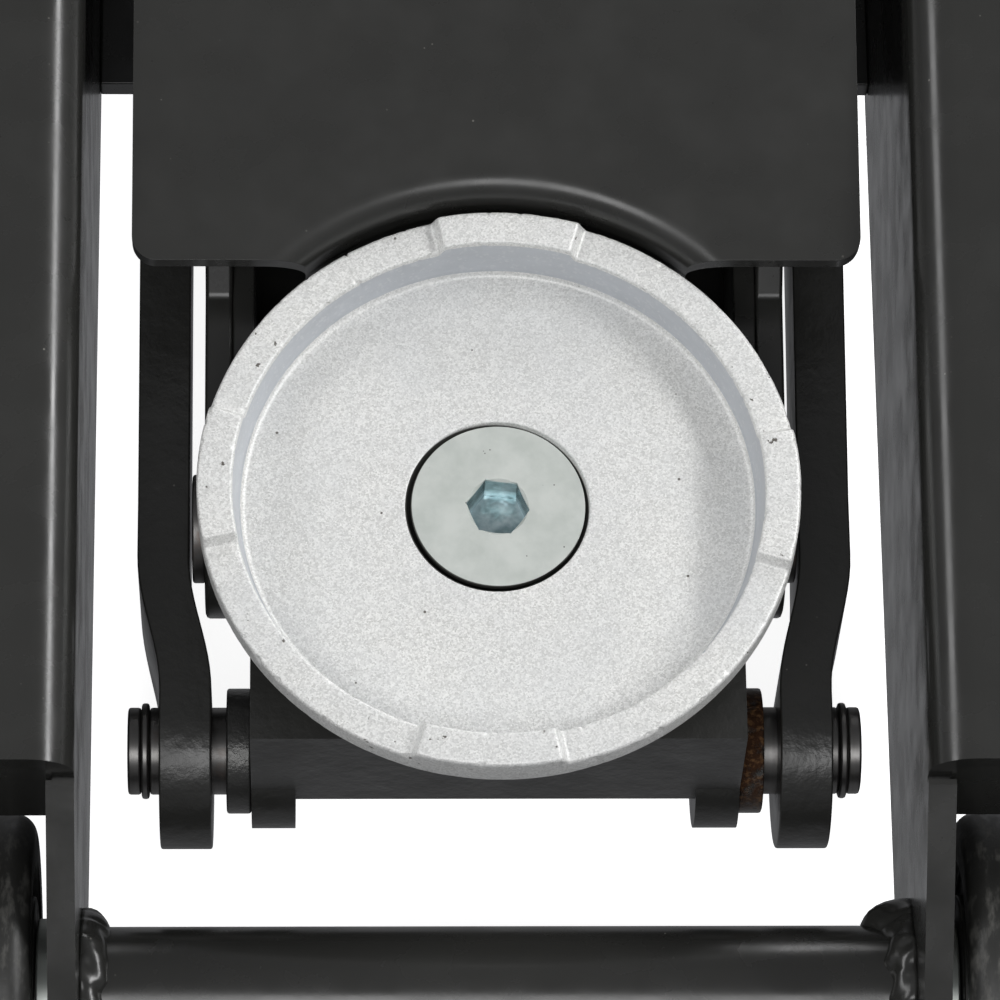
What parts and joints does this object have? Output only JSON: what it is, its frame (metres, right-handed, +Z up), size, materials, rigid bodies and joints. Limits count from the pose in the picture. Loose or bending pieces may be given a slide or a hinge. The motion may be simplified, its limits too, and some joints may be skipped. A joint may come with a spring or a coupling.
{
  "type": "hydraulic trolley jack",
  "caption": "Low-profile hydraulic floor jack: side-plate chassis on wheels, parallelogram lift arm with a round turning saddle, pump unit and pumping handle.",
  "frame": {"origin": "on the floor, midway across the jack and midway between the front of the front wheels and the rear of the pump block", "axes": "+X to the right seen from the saddle end, +Y from the saddle end towards the handle, +Z up"},
  "size_m": [0.298, 0.7544, 1.1106],
  "materials": {
    "chassis_paint": "satin black powder coat over folded and welded steel",
    "arm_paint": "satin black paint on pressed and welded steel",
    "forging_paint": "black paint over a rough forged or cast surface",
    "saddle_casting": "sand cast, zinc plated, fine sparkling grain",
    "zinc_fastener": "smooth pale green-grey zinc plating",
    "bare_steel": "oiled bare steel, turned",
    "wheel_iron": "painted cast iron with worn tread",
    "caster_tyre": "hard nylon wheel",
    "grip_rubber": "matt ribbed rubber",
    "foam_bumper": "closed-cell foam rubber",
    "spring_steel": "zinc plated spring wire"
  },
  "bodies": {
    "frame": {"side_plate_left": "chassis_paint", "side_plate_right": "chassis_paint", "front_cross_tube": "chassis_paint", "tube_weld_beads": "chassis_paint", "tie_plate": "chassis_paint", "front_axle": "bare_steel", "axle_washers": "zinc_fastener", "axle_nuts": "zinc_fastener", "caster_mounts": "chassis_paint", "main_pivot_shaft": "bare_steel", "main_pivot_nuts": "zinc_fastener", "link_pivot_pins": "bare_steel", "pump_block": "forging_paint", "oil_tank": "chassis_paint", "ram_cylinder": "bare_steel", "gland_nut": "zinc_fastener", "oil_filler_plug": "caster_tyre", "valve_caps": "zinc_fastener", "pump_block_bolts": "zinc_fastener", "spring_anchor_rod": "zinc_fastener", "rear_cover": "chassis_paint", "cover_screws": "zinc_fastener", "yoke_pivot_bolts": "zinc_fastener", "return_springs": "spring_steel", "plunger_springs": "spring_steel"},
    "lift_arm": {"arm_top_plate": "arm_paint", "arm_web_left": "arm_paint", "arm_web_right": "arm_paint", "arm_front_cheeks": "arm_paint", "arm_brace": "arm_paint", "arm_hub_tube": "arm_paint", "ram_lugs": "arm_paint", "ram_cross_pin": "bare_steel", "arm_front_pin": "bare_steel"},
    "saddle_bracket": {"saddle_bracket": "forging_paint", "link_front_pin": "bare_steel", "link_pin_collars": "bare_steel", "retaining_rings": "bare_steel", "saddle_screw": "zinc_fastener"},
    "saddle": {"saddle": "saddle_casting"},
    "links": {"link_rod_left": "forging_paint", "link_rod_right": "forging_paint"},
    "ram": {"ram_rod": "bare_steel", "ram_crosshead": "bare_steel"},
    "handle_yoke": {"handle_yoke": "arm_paint", "pump_rollers": "bare_steel", "handle_lock_screw": "zinc_fastener"},
    "plungers": {"pump_plungers": "bare_steel"},
    "handle": {"handle_lower_tube": "arm_paint", "handle_upper_tube": "arm_paint", "handle_grip": "grip_rubber", "handle_bumper": "foam_bumper", "handle_drive_ball": "bare_steel"},
    "release_valve": {"release_valve": "bare_steel"},
    "front_wheel_left": {"front_wheel_left": "wheel_iron"},
    "front_wheel_right": {"front_wheel_right": "wheel_iron"},
    "caster_left": {"caster_fork_left": "zinc_fastener"},
    "caster_right": {"caster_fork_right": "zinc_fastener"},
    "caster_wheel_left": {"caster_wheel_left": "caster_tyre"},
    "caster_wheel_right": {"caster_wheel_right": "caster_tyre"}
  },
  "joints": [
    {"name": "lift", "type": "hinge", "parent": "frame", "child": "lift_arm", "pos_m": [0, 0.14726, 0.10506], "axis": [-1, 0, 0], "range_deg": [0, 66]},
    {"name": "bracket_level", "type": "hinge", "parent": "lift_arm", "child": "saddle_bracket", "pos_m": [0, -0.25875, 0.048], "axis": [-1, 0, 0], "range_deg": [-67, 1]},
    {"name": "link_swing", "type": "hinge", "parent": "frame", "child": "links", "pos_m": [0, 0.10926, 0.09006], "axis": [-1, 0, 0], "range_deg": [-1, 67]},
    {"name": "saddle_turn", "type": "hinge", "parent": "saddle_bracket", "child": "saddle", "pos_m": [0, -0.26675, 0.07], "axis": [0, 0, 1], "continuous": true},
    {"name": "ram_stroke", "type": "slide", "parent": "frame", "child": "ram", "axis": [0, -1, 0], "range_m": [-0.001, 0.06418], "deforming": ["return_springs"]},
    {"name": "handle_pump", "type": "hinge", "parent": "frame", "child": "handle_yoke", "pos_m": [0, 0.33725, 0.118], "axis": [-1, 0, 0], "range_deg": [0, 83]},
    {"name": "pump_stroke", "type": "slide", "parent": "frame", "child": "plungers", "axis": [0, 0, -1], "range_m": [-0.0005, 0.0217], "deforming": ["plunger_springs"]},
    {"name": "handle_twist", "type": "hinge", "parent": "handle_yoke", "child": "handle", "pos_m": [0, 0.33725, 0.118], "axis": [0, -0.1392, 0.9903], "range_deg": [0, 180]},
    {"name": "release_turn", "type": "hinge", "parent": "frame", "child": "release_valve", "pos_m": [0, 0.33725, 0.08], "axis": [0, 0, 1], "range_deg": [-1, 181]},
    {"name": "front_wheel_spin_left", "type": "hinge", "parent": "frame", "child": "front_wheel_left", "pos_m": [-0.102, -0.34425, 0.033], "axis": [1, 0, 0], "continuous": true},
    {"name": "front_wheel_spin_right", "type": "hinge", "parent": "frame", "child": "front_wheel_right", "pos_m": [0.102, -0.34425, 0.033], "axis": [1, 0, 0], "continuous": true},
    {"name": "caster_swivel_left", "type": "hinge", "parent": "frame", "child": "caster_left", "pos_m": [-0.122, 0.30825, 0.07], "axis": [0, 0, 1], "continuous": true},
    {"name": "caster_wheel_spin_left", "type": "hinge", "parent": "caster_left", "child": "caster_wheel_left", "pos_m": [-0.122, 0.32225, 0.025], "axis": [1, 0, 0], "continuous": true},
    {"name": "caster_swivel_right", "type": "hinge", "parent": "frame", "child": "caster_right", "pos_m": [0.122, 0.30825, 0.07], "axis": [0, 0, 1], "continuous": true},
    {"name": "caster_wheel_spin_right", "type": "hinge", "parent": "caster_right", "child": "caster_wheel_right", "pos_m": [0.122, 0.32225, 0.025], "axis": [1, 0, 0], "continuous": true}
  ],
  "couplings": [
    {"joint": "bracket_level", "follows": "lift", "ratio": -1},
    {"joint": "link_swing", "follows": "lift", "ratio": 1},
    {"joint": "ram_stroke", "follows": "lift", "m_per_rad": 0.054846},
    {"joint": "pump_stroke", "follows": "handle_pump", "m_per_rad": 0.014637},
    {"joint": "release_turn", "follows": "handle_twist", "ratio": 1}
  ]
}
